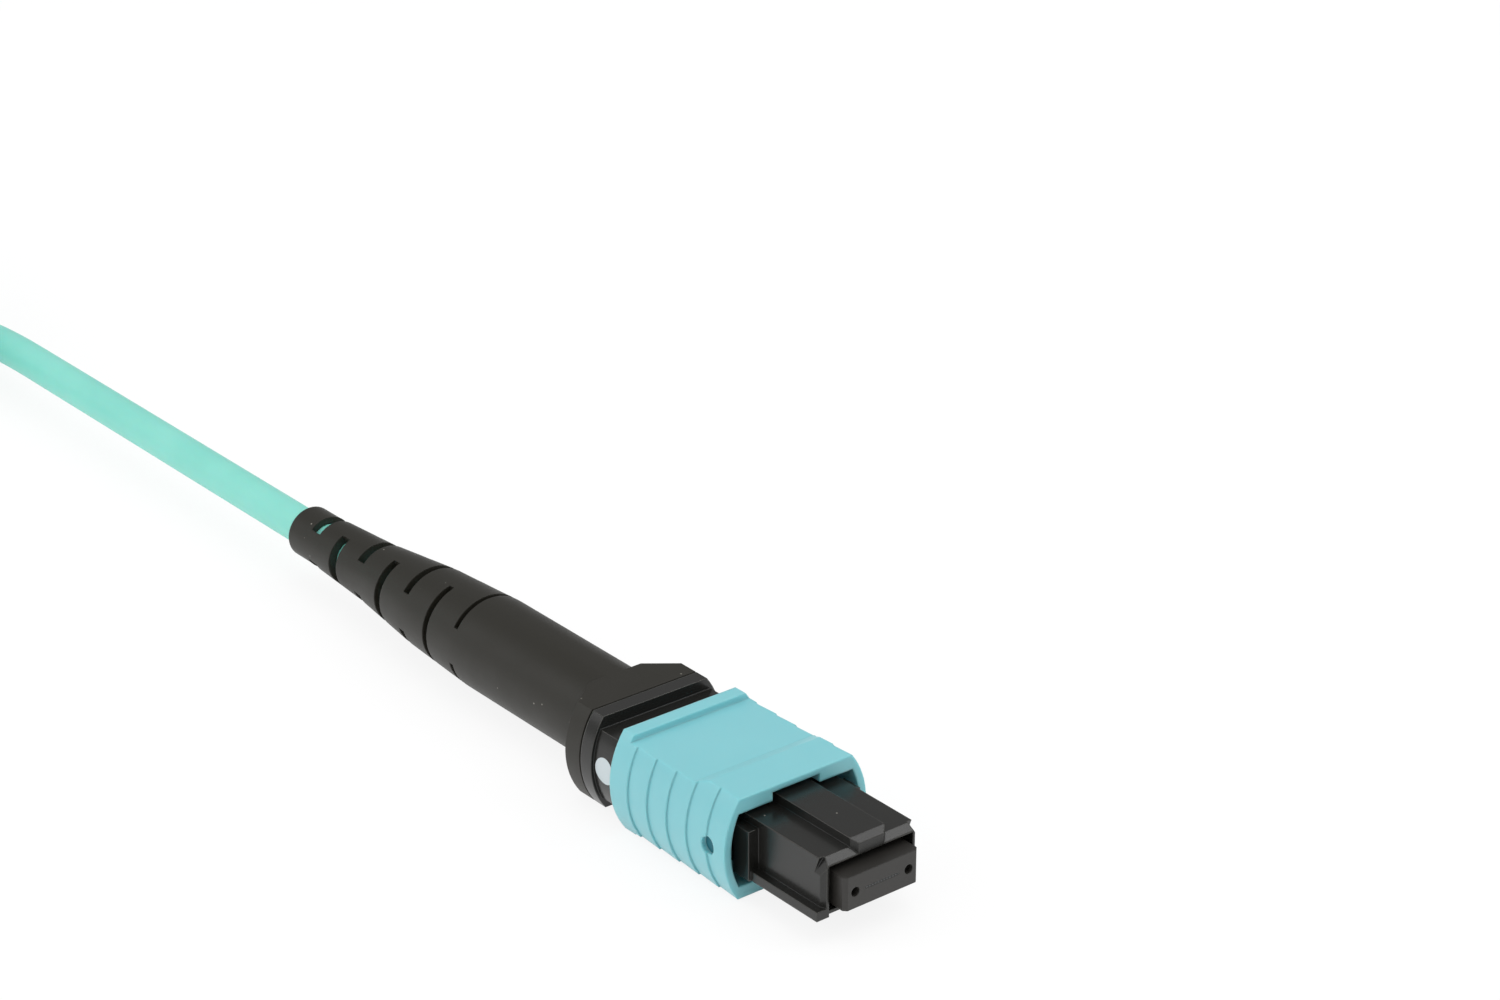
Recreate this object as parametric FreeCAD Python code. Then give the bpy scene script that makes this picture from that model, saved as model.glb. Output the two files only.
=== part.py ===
"""MPO fibre connector on a jumper cable: every solid of the assembly, in millimetres.

Frame: the origin is the centre of the ferrule's mating face, +X is the mating direction,
+Z is the key side and +Y is the left-hand side seen along +X.  The connector lies on the
flat underside of its coupling sleeve.
"""
import FreeCAD, Part
import math
import os

V = FreeCAD.Vector

# ---------------------------------------------------------------- clearances
SLIDE_GAP = 0.10        # coupling sleeve on the inner housing, all round
FERRULE_GAP = 0.10      # floating ferrule in the inner housing, all round
SEAT_GAP = 0.15         # end stops of the two slides at rest
BODY_FIT = 0.05         # loose fit of pieces that are assembled for good
CAVITY_GAP = 0.15       # ferrule shoulder in the housing's cavity
MOUTH_GAP = 0.42        # sides of the housing's mouth from the ferrule
SPRING_GAP = 0.07       # sleeve spring from the floor of its channel
SPRING_ROOM = 0.1       # depth of that channel beyond the spring
BOOT_GAP = 0.1          # boot round the crimp
HOOK_LEAD = 0.1         # spring push in front of its latch window
BORE_GAP = 0.06         # cable in the boot's bore
PART_LINE = 0.15        # visible line between the housing flange and the boot flange

# ---------------------------------------------------------------- ferrule
GUIDE_PITCH = 4.6       # between the two guide holes
GUIDE_D = 0.7
FIBRES = 12
FIBRE_PITCH = 0.25
FIBRE_D = 0.125
FIBRE_GAP = 0.015       # round the fibre row in the ferrule
FERRULE_W = 6.4
FERRULE_H = 2.48
FERRULE_L = 8.0
FERRULE_CHAMFER = 0.25
SHOULDER_L = 1.8
SHOULDER_W = 7.0
SHOULDER_H = 3.0
WINDOW_FRONT = 3.2      # bonding window, behind the mating face
WINDOW_L = 2.2
WINDOW_W = 3.4
RIBBON_W = 3.0
RIBBON_T = 0.3
RIBBON_GAP = 0.03
PASSAGE_WALL = 0.2      # rear passage beyond each edge of the ribbon, for its rubber boot
PASSAGE_W = RIBBON_W + 2 * PASSAGE_WALL
PASSAGE_H = 1.2

# ---------------------------------------------------------------- ferrule carrier
CLAMP_L = 2.1
CLAMP_W = 6.2
CLAMP_H = 2.8
PIN_SEAT = 0.9          # square seats, wider than the guide holes, for the pins' grooved ends
FERRULE_BOOT_L = 2.8
FERRULE_BOOT_TAIL = 0.6
BUNDLE_R = 0.75         # loose fibres inside the crimp post
F_SPRING_WIRE = 0.44
F_SPRING_W = 6.5
F_SPRING_H = 3.0
F_SPRING_TURNS = 5.0
COIL_STEPS = 9          # flats in each turn of a spring
COIL_CLOSED_TURNS = 0.8
COIL_CLOSED_RISE = 0.07

# ---------------------------------------------------------------- inner housing
CAVITY_W = SHOULDER_W + 2 * CAVITY_GAP
CAVITY_H = SHOULDER_H + 2 * CAVITY_GAP
NOSE_X = -1.1           # front plane of the nose
NOSE_WALL = 0.35        # side walls round the cavity
NOSE_W = CAVITY_W + 2 * NOSE_WALL
NOSE_TOP = 2.37
NOSE_BOTTOM = -1.95
NOSE_CHAMFER_L = 0.5    # front slope above the opening
NOSE_CHAMFER_H = 0.52
LEAD_IN_L = 0.47        # taper of the side walls at the front
LEAD_IN_W = 0.2
MOUTH_W = FERRULE_W + 2 * MOUTH_GAP  # opening round the ferrule
MOUTH_BOTTOM = -1.45
MOUTH_DEPTH = 1.3
RAIL_OUT = 0.65         # each side rail beyond the nose
RAIL_W = NOSE_W + 2 * RAIL_OUT
RAIL_TOP = -1.25
LEFT_RAIL_BACK = 2.0    # the rail on the left stops short of the front
KEY_W = 3.0
KEY_REAR = -11.4
KEY_TOP = 3.05
KEY_CHAMFER_L = 0.5
KEY_CHAMFER_H = 0.35
KEY_BEVEL = 0.42
RELIEF_DEPTH = 0.42     # sloped relief at the nose's upper corners
RELIEF_FOOT = 1.12      # height where the relief runs out into the side
HUMP_X = -7.95          # latch hump for an adapter's hooks
HUMP_L = 1.65
HUMP_OUT = 0.85         # each hump beyond the nose
HUMP_W = NOSE_W + 2 * HUMP_OUT
HUMP_TOP = 1.8
POCKET_L = 2.4
POCKET_WALL = 0.3
POCKET_W = CAVITY_W + 2 * POCKET_WALL
S_SPRING_D = 1.3        # round springs behind the sleeve's lugs
CHANNEL_WALL = 0.45     # wall between the cavity and each spring channel
CHANNEL_FLOOR = CAVITY_W / 2 + CHANNEL_WALL
CHANNEL_H = 1.6
NECK_W = 2 * (CHANNEL_FLOOR + S_SPRING_D + SPRING_ROOM)
NECK_H = 5.4
NECK_FLAT = 9.7
FLANGE_X = -24.3
FLANGE_L = 1.2
FLANGE_OUT = 0.25       # flange beyond each side of the body
FLANGE_W = NECK_W + 2 * FLANGE_OUT
FLANGE_H = 7.2
FLANGE_FLAT = 9.1
LATCH_X = -17.3         # front edge of the latch windows
LATCH_L = 1.6
LATCH_W = 3.2
BASE_STEP = 0.55        # seat for the spring push at the rear, all round the cavity
BASE_W = CAVITY_W + 2 * BASE_STEP
BASE_H = CAVITY_H + 2 * BASE_STEP

# ---------------------------------------------------------------- coupling sleeve
SLEEVE_FRONT = -8.87
SLEEVE_REAR = -21.53
SIDE_WALL = 0.6
SLEEVE_W = NECK_W + 2 * (SLIDE_GAP + SIDE_WALL)
SLEEVE_H = 7.8
SLEEVE_FLAT = 9.8
RIM_L = 1.15            # rear rim
PANEL_TOP = 3.4         # sunk panel on top, between the rim and the front land
LAND_X = -12.2          # rear edge of the front land
LAND_SLOPE_L = 1.2
UNDERSIDE = -3.7        # flat underside in front of the rim
RIB_FIRST = -19.6       # first step between the grip ribs
RIB_PITCH = 2.17
RIB_COUNT = 5
RIB_RISE = 0.14         # each rib grows by this towards the front
KEYWAY_W = 4.1
KEYWAY_TOP = 3.45
LUG_FRONT = -13.0
LUG_L = 1.4
LUG_H = 1.3
DIMPLE_X = -10.75       # round recess in each side
DIMPLE_D = 1.3
DIMPLE_DEPTH = 0.46
KEYWAY_END_GAP = 0.3    # rear of the keyway behind the key
SPRING_REAR = -20.8
S_SPRING_WIRE = 0.22
S_SPRING_TURNS = 6.0
S_SPRING_Y = CHANNEL_FLOOR + SPRING_GAP + S_SPRING_D / 2

# ---------------------------------------------------------------- spring push and crimp
PUSH_FRONT = LATCH_X + HOOK_LEAD
PUSH_SLOT_W = 3.6
PUSH_SLOT_H = 1.0
PUSH_HOOK_H = 0.5
POST_R = 2.2
POST_BORE = 1.4
POST_L = 10.0
POST_END = FLANGE_X - FLANGE_L - POST_L
POST_GROOVES = 2
YARN_T = 0.15
CRIMP_SET = 0.5         # crimp behind the housing's flange
CRIMP_START = FLANGE_X - FLANGE_L - CRIMP_SET
CRIMP_T = 0.35
CRIMP_NECK_L = 6.0
CRIMP_NECK_R = 2.0
CRIMP_STEP = 0.6

# ---------------------------------------------------------------- boot
BOOT_FLANGE_L = 1.65
BOOT_FLANGE_END = FLANGE_X - FLANGE_L - PART_LINE - BOOT_FLANGE_L
HOOD_L = 1.75
HOOD_END = BOOT_FLANGE_END - HOOD_L
HOOD_FRONT_W = 9.0
HOOD_END_W = 4.6
BOOT_CAVITY_R = POST_R + YARN_T + CRIMP_T + BOOT_GAP
BOOT_NECK_R = CRIMP_NECK_R + BODY_FIT
BOOT_END = -69.5
BOOT_END_ROUND = 0.45
BOOT_R = 3.68
CREST_END = -38.0       # where the flat on the round part runs out, behind the hood
BOOT_WAIST_X = -44.0    # where the tail begins to curve in
BOOT_TAIL_X = -67.0
BOOT_TAIL_R = 2.08
BOOT_TAPERS = 3         # straight tapers that make up the curved tail
SLOT_FIRST = -66.0
SLOT_PITCH = 3.4
SLOT_COUNT = 7
SLOT_TAIL_W = 1.2       # width of the slot nearest the tail
SLOT_NOSE_W = 0.45      # width of the slot nearest the flange
SLOT_TURN = -11.0       # turn of the whole pattern about the axis, in degrees
WEB_TAIL = 70.0         # rubber left between the two slots of the ring nearest the tail
WEB_NOSE = 45.0         # and of the ring nearest the flange

# ---------------------------------------------------------------- cable
CABLE_D = 3.0
CABLE_START = -39.6
BORE_R = CABLE_D / 2 + BORE_GAP
FLOOR_Z = -SLEEVE_H / 2
FAR_BOOT_END = -209.0   # where the cable enters the far connector's boot
FAR_OFFSET = -1.2       # the far connector lies this far beside the first one's axis
TIE_T = 0.5
TIE_W = 6.0
HANK_NEAR = -134.0      # centre of the hank's near end
HANK_STRAIGHT = 35.0
HANK_INNER_R = 10.5
HANK_LAYERS = 3


def box(x0, x1, y0, y1, z0, z1):
    """Box between two corners, given in any order."""
    low = V(min(x0, x1), min(y0, y1), min(z0, z1))
    return Part.makeBox(abs(x1 - x0), abs(y1 - y0), abs(z1 - z0), low)


def centred(x0, x1, width, height):
    """Box on the axis, between two X planes."""
    return box(x0, x1, -width / 2, width / 2, -height / 2, height / 2)


def rod(x0, x1, radius, y=0.0, z=0.0):
    """Cylinder along X between two planes."""
    start = min(x0, x1)
    return Part.makeCylinder(radius, abs(x1 - x0), V(start, y, z), V(1, 0, 0))


def prism_xz(points, y0, y1):
    """Polygon of (x, z) points, extruded from y0 to y1."""
    wire = Part.makePolygon([V(x, y0, z) for x, z in points + points[:1]])
    return Part.Face(wire).extrude(V(0, y1 - y0, 0))


def prism_xy(points, z0, z1):
    """Polygon of (x, y) points, extruded from z0 to z1."""
    wire = Part.makePolygon([V(x, y, z0) for x, y in points + points[:1]])
    return Part.Face(wire).extrude(V(0, 0, z1 - z0))


def barrel_wire(x, width, height, flat):
    """Outline in the plane x: flat top and bottom, sides bulging out as arcs."""
    w, h, f = width / 2, height / 2, flat / 2
    return Part.Wire([
        Part.LineSegment(V(x, -f, h), V(x, f, h)).toShape(),
        Part.Arc(V(x, f, h), V(x, w, 0), V(x, f, -h)).toShape(),
        Part.LineSegment(V(x, f, -h), V(x, -f, -h)).toShape(),
        Part.Arc(V(x, -f, -h), V(x, -w, 0), V(x, -f, h)).toShape(),
    ])


def barrel(x0, x1, width, height, flat):
    """Solid with the barrel outline between two X planes."""
    return Part.Face(barrel_wire(x0, width, height, flat)).extrude(V(x1 - x0, 0, 0))


def both_sides(shape):
    """The shape and its mirror image in the XZ plane."""
    return [shape, shape.mirror(V(0, 0, 0), V(0, 1, 0))]


def fuse(shapes):
    """One solid of several that meet or overlap."""
    return shapes[0].fuse(shapes[1:]).removeSplitter()


def flat_face(points):
    """Planar face on a closed polygon."""
    return Part.Face(Part.makePolygon(points + points[:1]))


def fibre_row(x0, x1, gap):
    """The row of bare fibres side by side, or the hole for it."""
    width = FIBRE_PITCH * (FIBRES - 1) + FIBRE_D
    return centred(x0, x1, width + 2 * gap, FIBRE_D + 2 * gap)


# ================================================================ ferrule and its carrier
def ferrule():
    """Moulded ferrule: guide holes, fibre holes, bonding window and rear shoulder."""
    c, w, h = FERRULE_CHAMFER, FERRULE_W / 2, FERRULE_H / 2
    front = prism_xy([(-FERRULE_L, -w), (-c, -w), (0, c - w), (0, w - c), (-c, w), (-FERRULE_L, w)], -h, h)
    body = front.fuse(centred(-FERRULE_L, SHOULDER_L - FERRULE_L, SHOULDER_W, SHOULDER_H))
    window_rear = -WINDOW_FRONT - WINDOW_L
    cuts = [rod(-FERRULE_L - 1, 1, GUIDE_D / 2, side * GUIDE_PITCH / 2) for side in (-1, 1)]
    cuts.append(fibre_row(-WINDOW_FRONT - 0.1, 1, FIBRE_GAP))
    cuts.append(box(-WINDOW_FRONT, window_rear, -WINDOW_W / 2, WINDOW_W / 2, -PASSAGE_H / 2, h + 1))
    cuts.append(centred(-FERRULE_L - 1, -WINDOW_FRONT, PASSAGE_W, PASSAGE_H))
    return body.cut(cuts).removeSplitter()


def ferrule_boot():
    """Rubber sleeve that guides the ribbon into the ferrule."""
    rear = -FERRULE_L - FERRULE_BOOT_TAIL
    outer = centred(rear, rear + FERRULE_BOOT_L, PASSAGE_W, PASSAGE_H)
    gap = 2 * RIBBON_GAP
    return outer.cut(centred(rear - 1, rear + FERRULE_BOOT_L + 1, RIBBON_W + gap, RIBBON_T + gap))


def pin_clamp():
    """Spacer behind the ferrule, with the two pin seats empty on this pinless connector."""
    front = -FERRULE_L
    block = centred(front, front - CLAMP_L, CLAMP_W, CLAMP_H)
    window = centred(front + 1, front - CLAMP_L - 1, PASSAGE_W + 0.1, PASSAGE_H + 0.3)
    seat = centred(front + 1, front - CLAMP_L - 1, PIN_SEAT, PIN_SEAT)
    seat.translate(V(0, GUIDE_PITCH / 2, 0))
    return block.cut([window] + both_sides(seat))


def fibre_ribbon():
    """Twelve fibres from the mating face, their ribbon, and the bundle into the cable."""
    joint = -WINDOW_FRONT - WINDOW_L / 2
    ribbon = centred(joint, FLANGE_X, RIBBON_W, RIBBON_T)
    bundle = rod(FLANGE_X, CABLE_START, BUNDLE_R)
    return fuse([ribbon, bundle, fibre_row(0, joint - 0.2, 0)])


def coil(radius_y, radius_z, x0, x1, turns, wire_d, y=0.0):
    """Open coil spring along X, round or oval, with closed end turns and a six-sided wire."""
    wire = wire_d / math.sqrt(3)
    count = int(turns * COIL_STEPS)
    closed = COIL_CLOSED_TURNS / turns
    rings = []
    for i in range(count + 1):
        t = i / count
        end_turn = min(t, closed) + max(t - 1 + closed, 0.0)
        rise = end_turn / closed * COIL_CLOSED_RISE
        rise += (min(max(t, closed), 1 - closed) - closed) / (1 - 2 * closed) * (1 - 2 * COIL_CLOSED_RISE)
        centre_x = x0 + wire_d / 2 + (x1 - x0 - wire_d) * rise
        angle = 2 * math.pi * turns * t
        ring = []
        for j in range(6):
            corner = math.pi / 3 * (j + 0.5)
            out = wire * math.cos(corner)
            ring.append(V(centre_x + wire * math.sin(corner),
                          y + (radius_y + out) * math.cos(angle),
                          (radius_z + out) * math.sin(angle)))
        rings.append(ring)
    faces = [flat_face(rings[0]), flat_face(rings[-1])]
    for here, there in zip(rings, rings[1:]):
        for j in range(6):
            k = (j + 1) % 6
            faces.append(flat_face([here[j], here[k], there[k]]))
            faces.append(flat_face([here[j], there[k], there[j]]))
    return Part.makeSolid(Part.makeShell(faces))


def ferrule_spring():
    """Oval spring that presses the ferrule forward."""
    half = F_SPRING_WIRE / 2
    clamp_rear = -FERRULE_L - CLAMP_L
    return coil(F_SPRING_W / 2 - half, F_SPRING_H / 2 - half, PUSH_FRONT, clamp_rear,
                F_SPRING_TURNS, F_SPRING_WIRE)


# ================================================================ inner housing
def nose():
    """Front part of the inner housing: rails, key, lead-ins, corner reliefs and mouth."""
    w, front, rear = NOSE_W / 2, NOSE_X, HUMP_X
    plan = [(rear, -w), (front - LEAD_IN_L, -w), (front, LEAD_IN_W - w),
            (front, w - LEAD_IN_W), (front - LEAD_IN_L, w), (rear, w)]
    top = NOSE_TOP
    slope = [(front + 1, top + 1), (front - NOSE_CHAMFER_L, top + 1), (front - NOSE_CHAMFER_L, top),
             (front, top - NOSE_CHAMFER_H), (front + 1, top - NOSE_CHAMFER_H)]
    block = prism_xy(plan, NOSE_BOTTOM, top).cut(prism_xz(slope, -w - 1, w + 1))
    rails = [box(rear, front, -RAIL_W / 2, 0, NOSE_BOTTOM, RAIL_TOP),
             box(rear, front - LEFT_RAIL_BACK, 0, RAIL_W / 2, NOSE_BOTTOM, RAIL_TOP)]
    height = top - RELIEF_FOOT
    relief = [(front - 0.25, top + 1), (front - 1.05, RELIEF_FOOT), (front - LEAD_IN_L, RELIEF_FOOT),
              (front + 0.1, 1.94), (front + 0.1, top + 1)]
    slant = flat_face([V(rear, w, RELIEF_FOOT), V(rear, w - 2 * RELIEF_DEPTH, top + height),
                       V(rear, w + 1, top + height), V(rear, w + 1, RELIEF_FOOT)])
    slant = slant.extrude(V(front + 1 - rear, 0, 0))
    reliefs = both_sides(prism_xz(relief, w - 1, w + 1).common(slant))
    under = [(front + 1, NOSE_BOTTOM - 1), (front - 0.3, NOSE_BOTTOM - 1), (front - 0.3, NOSE_BOTTOM),
             (front, NOSE_BOTTOM + 0.25), (front + 1, NOSE_BOTTOM + 0.25)]
    lip = prism_xz(under, -w + 0.4, w - 0.4)
    return fuse([block.cut(reliefs)] + rails).cut(lip)


def key():
    """Polarity key on top of the housing, with its sloped and bevelled front."""
    w, front, rear = KEY_W / 2, NOSE_X, KEY_REAR
    plan = [(rear, -w), (front - KEY_BEVEL, -w), (front, KEY_BEVEL - w), (front, w - KEY_BEVEL),
            (front - KEY_BEVEL, w), (rear, w)]
    body = prism_xy(plan, NOSE_TOP - 0.6, KEY_TOP)
    slope = [(front + 1, KEY_TOP + 1), (front - KEY_CHAMFER_L, KEY_TOP + 1),
             (front - KEY_CHAMFER_L, KEY_TOP), (front, KEY_TOP - KEY_CHAMFER_H),
             (front + 1, KEY_TOP - KEY_CHAMFER_H)]
    return body.cut(prism_xz(slope, -w - 1, w + 1))


def spring_channels():
    """The two outward-open channels that hold the sleeve springs."""
    front = LUG_FRONT + SEAT_GAP
    return both_sides(box(front, SPRING_REAR, CHANNEL_FLOOR, NECK_W, -CHANNEL_H / 2, CHANNEL_H / 2))


def inner_housing():
    """Nose, latch humps, body and flange in one moulding, hollow from end to end."""
    hump_rear = HUMP_X - HUMP_L
    pocket_rear = hump_rear - POCKET_L
    flange_rear = FLANGE_X - FLANGE_L
    hump = box(HUMP_X, hump_rear, -HUMP_W / 2, HUMP_W / 2, NOSE_BOTTOM, HUMP_TOP)
    hump = hump.fuse(box(HUMP_X, hump_rear, -NOSE_W / 2, NOSE_W / 2, NOSE_BOTTOM, NOSE_TOP))
    pocket = box(hump_rear, pocket_rear, -POCKET_W / 2, POCKET_W / 2, NOSE_BOTTOM, NOSE_TOP)
    body = barrel(pocket_rear, FLANGE_X, NECK_W, NECK_H, NECK_FLAT)
    flange = barrel(FLANGE_X, flange_rear, FLANGE_W, FLANGE_H, FLANGE_FLAT)
    solid = fuse([nose(), key(), hump, pocket, body, flange])

    gap = 2 * FERRULE_GAP
    shoulder_front = SHOULDER_L - FERRULE_L
    ledge = shoulder_front + FERRULE_GAP
    cuts = [
        centred(NOSE_X + 1, ledge - 1, FERRULE_W + gap, FERRULE_H + gap),
        box(NOSE_X + 1, NOSE_X - MOUTH_DEPTH, -MOUTH_W / 2, MOUTH_W / 2, MOUTH_BOTTOM,
            NOSE_TOP - NOSE_CHAMFER_H),
        centred(ledge, flange_rear - 1, CAVITY_W, CAVITY_H),
        centred(FLANGE_X, flange_rear - 1, BASE_W, BASE_H),
        box(LATCH_X, LATCH_X - LATCH_L, -LATCH_W / 2, LATCH_W / 2, -NECK_H, NECK_H),
    ]
    return solid.cut(cuts + spring_channels()).removeSplitter()


# ================================================================ coupling sleeve
def sleeve_slice(x0, x1, inset0, inset1):
    """Slice of the sleeve whose sides taper between two insets."""
    w, h, f = SLEEVE_W / 2 - inset0, SLEEVE_H / 2, SLEEVE_FLAT / 2 - inset0
    outline = Part.Wire([
        Part.Arc(V(x0, f, h), V(x0, w, 0), V(x0, f, -h)).toShape(),
        Part.makePolygon([V(x0, f, -h), V(x0, -SLEEVE_W, -h), V(x0, -SLEEVE_W, h), V(x0, f, h)]),
    ])
    left = Part.Face(outline).extrude(V(x1 - x0, inset0 - inset1, 0))
    return left.common(left.mirror(V(0, 0, 0), V(0, 1, 0)))


def sleeve_flats(solid):
    """The sleeve's outside with its sunk top panel and its lowered underside."""
    rim_front, top = SLEEVE_REAR + RIM_L, SLEEVE_H / 2
    panel = [(rim_front, top + 1), (rim_front, PANEL_TOP), (LAND_X - LAND_SLOPE_L, PANEL_TOP),
             (LAND_X, top), (LAND_X, top + 1)]
    under = box(rim_front, SLEEVE_FRONT + 1, -SLEEVE_W, SLEEVE_W, -top - 1, UNDERSIDE)
    return solid.cut([prism_xz(panel, -SLEEVE_W, SLEEVE_W), under])


def sleeve_outside():
    """Rear rim, saw-tooth grip ribs and the plain front."""
    x = SLEEVE_REAR + RIM_L
    slices = [sleeve_slice(SLEEVE_REAR, x, 0.0, 0.0)]
    inset = 0.0
    for i in range(RIB_COUNT):
        step = RIB_FIRST + i * RIB_PITCH
        slices.append(sleeve_slice(x, step, inset, 0.0))
        x, inset = step, RIB_RISE
    slices.append(sleeve_slice(x, SLEEVE_FRONT, inset, 0.0))
    return sleeve_flats(fuse(slices))


def plain_sleeve():
    """The sleeve's outside without its ribs, for the far connector."""
    return sleeve_flats(sleeve_slice(SLEEVE_REAR, SLEEVE_FRONT, 0.0, 0.0))


def coupling_sleeve(outside):
    """Sliding outer sleeve with keyway, spring lugs and the two round side recesses."""
    gap = 2 * SLIDE_GAP
    bore = barrel(SLEEVE_REAR - 1, SLEEVE_FRONT + 1, NECK_W + gap, NECK_H + gap, NECK_FLAT + gap)
    keyway_rear = KEY_REAR - KEYWAY_END_GAP
    keyway = box(SLEEVE_FRONT + 1, keyway_rear, -KEYWAY_W / 2, KEYWAY_W / 2, 0, KEYWAY_TOP)
    floor = SLEEVE_W / 2 - DIMPLE_DEPTH
    dimple = Part.makeCylinder(DIMPLE_D / 2, SLEEVE_W, V(DIMPLE_X, floor, 0), V(0, 1, 0))
    shell = outside.cut([bore, keyway] + both_sides(dimple))
    lug = box(LUG_FRONT, LUG_FRONT - LUG_L, CHANNEL_FLOOR + SLIDE_GAP, NECK_W / 2 + 0.3,
              -LUG_H / 2, LUG_H / 2)
    return fuse([shell] + both_sides(lug))


def sleeve_spring(side):
    """Round spring between a sleeve lug and the rear of its channel."""
    radius = (S_SPRING_D - S_SPRING_WIRE) / 2
    return coil(radius, radius, SPRING_REAR, LUG_FRONT - LUG_L, S_SPRING_TURNS, S_SPRING_WIRE,
                side * S_SPRING_Y)


# ================================================================ spring push, crimp and boot
def spring_push():
    """Rear carrier: spring seat, latch hooks, base and grooved crimp post."""
    flange_rear = FLANGE_X - FLANGE_L
    fit = 2 * BODY_FIT
    block = centred(PUSH_FRONT, FLANGE_X, CAVITY_W - fit, CAVITY_H - fit)
    base = centred(FLANGE_X, flange_rear, BASE_W - fit, BASE_H - fit)
    post = rod(flange_rear, POST_END, POST_R)
    z = CAVITY_H / 2 - BODY_FIT
    ramp = [(LATCH_X - BODY_FIT, z), (LATCH_X - LATCH_L + BODY_FIT, z),
            (LATCH_X - LATCH_L + BODY_FIT, z + PUSH_HOOK_H), (LATCH_X - LATCH_L * 0.6, z + PUSH_HOOK_H)]
    hook = prism_xz(ramp, BODY_FIT - LATCH_W / 2, LATCH_W / 2 - BODY_FIT)
    under = hook.mirror(V(0, 0, 0), V(0, 0, 1))
    solid = fuse([block, base, post, hook, under])
    pitch = (flange_rear - POST_END - 2.0) / POST_GROOVES
    grooves = []
    for i in range(POST_GROOVES):
        x = flange_rear - 1.4 - i * pitch
        grooves.append(rod(x, x - 0.6, POST_R + 1).cut(rod(x, x - 0.6, POST_R - YARN_T)))
    slot = centred(PUSH_FRONT + 1, flange_rear, PUSH_SLOT_W, PUSH_SLOT_H)
    return solid.cut([slot, rod(FLANGE_X, POST_END - 1, POST_BORE)] + grooves)


def aramid_yarn():
    """Strength yarn of the cable, folded back over the crimp post."""
    start, end = CRIMP_START - 0.2, POST_END
    return rod(start, end, POST_R + YARN_T).cut(rod(start + 1, end - 1, POST_R))


def crimp_ring():
    """Stepped metal ring that holds the yarn on the post and grips the jacket."""
    bore = POST_R + YARN_T
    step = POST_END - CRIMP_STEP
    wide = rod(CRIMP_START, step, bore + CRIMP_T).cut(rod(CRIMP_START + 1, POST_END, bore))
    neck = rod(step, step - CRIMP_NECK_L, CRIMP_NECK_R)
    return fuse([wide, neck]).cut(rod(POST_END + 1, step - CRIMP_NECK_L - 1, CABLE_D / 2))


def boot_outside(tapers):
    """Outer form of the boot's round part, turned from its profile."""
    front, corner = BOOT_FLANGE_END, BOOT_END_ROUND
    line = [V(front, 0, 0), V(front, 0, BOOT_R)]
    for i in range(tapers + 1):
        t = i / tapers
        blend = (1 - math.cos(math.pi * t)) / 2
        line.append(V(BOOT_WAIST_X + (BOOT_TAIL_X - BOOT_WAIST_X) * t, 0,
                      BOOT_R + (BOOT_TAIL_R - BOOT_R) * blend))
    line += [V(BOOT_END + corner, 0, BOOT_TAIL_R), V(BOOT_END, 0, BOOT_TAIL_R - corner),
             V(BOOT_END, 0, 0)]
    round_part = flat_face(line).revolve(V(0, 0, 0), V(1, 0, 0), 360)
    level = FLANGE_H / 2 - 0.02
    crest = prism_xz([(front + 1, level), (CREST_END, BOOT_R + 0.02), (CREST_END, BOOT_R + 1),
                      (front + 1, BOOT_R + 1)], -BOOT_R, BOOT_R)
    return round_part.cut([crest, crest.mirror(V(0, 0, 0), V(0, 0, 1))])


def boot_slots():
    """Relief slots: rings of two opposite slots, each ring turned 90 degrees from the last."""
    slots = []
    for i in range(SLOT_COUNT):
        share = i / (SLOT_COUNT - 1)
        width = SLOT_TAIL_W + (SLOT_NOSE_W - SLOT_TAIL_W) * share
        x = SLOT_FIRST + i * SLOT_PITCH
        ring = rod(x - width / 2, x + width / 2, 2 * BOOT_R).cut(rod(x - width, x + width, BORE_R))
        half = math.radians(WEB_TAIL + (WEB_NOSE - WEB_TAIL) * share) / 2
        reach = 2 * BOOT_R
        wedge = [V(x - width, 0, 0), V(x - width, reach, -reach * math.tan(half)),
                 V(x - width, reach, reach * math.tan(half)), V(x - width, 0, 0)]
        web = Part.Face(Part.makePolygon(wedge)).extrude(V(2 * width, 0, 0))
        ring = ring.cut(both_sides(web))
        ring.rotate(V(0, 0, 0), V(1, 0, 0), SLOT_TURN + 90 * (i % 2))
        slots.append(ring)
    return slots


def boot_front():
    """Front plane of the boot's flange, just behind the housing."""
    return FLANGE_X - FLANGE_L - PART_LINE


def boot_blank(tapers):
    """Boot with its flange and flat hood, before it is hollowed."""
    flange = barrel(boot_front(), BOOT_FLANGE_END, FLANGE_W, FLANGE_H, FLANGE_FLAT)
    hood = prism_xy([(BOOT_FLANGE_END, -HOOD_FRONT_W / 2), (BOOT_FLANGE_END, HOOD_FRONT_W / 2),
                     (HOOD_END, HOOD_END_W / 2), (HOOD_END, -HOOD_END_W / 2)],
                    -FLANGE_H / 2, FLANGE_H / 2)
    return fuse([boot_outside(tapers), flange, hood])


def boot():
    """Rubber strain-relief boot with its cavity, bore and slotted tail."""
    ring_rear = POST_END - CRIMP_STEP
    cuts = [
        rod(boot_front() + 1, ring_rear - 0.1, BOOT_CAVITY_R),
        rod(ring_rear, ring_rear - CRIMP_NECK_L - 0.1, BOOT_NECK_R),
        rod(ring_rear, BOOT_END - 1, BORE_R),
    ]
    return boot_blank(BOOT_TAPERS).cut(cuts + boot_slots())


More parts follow.
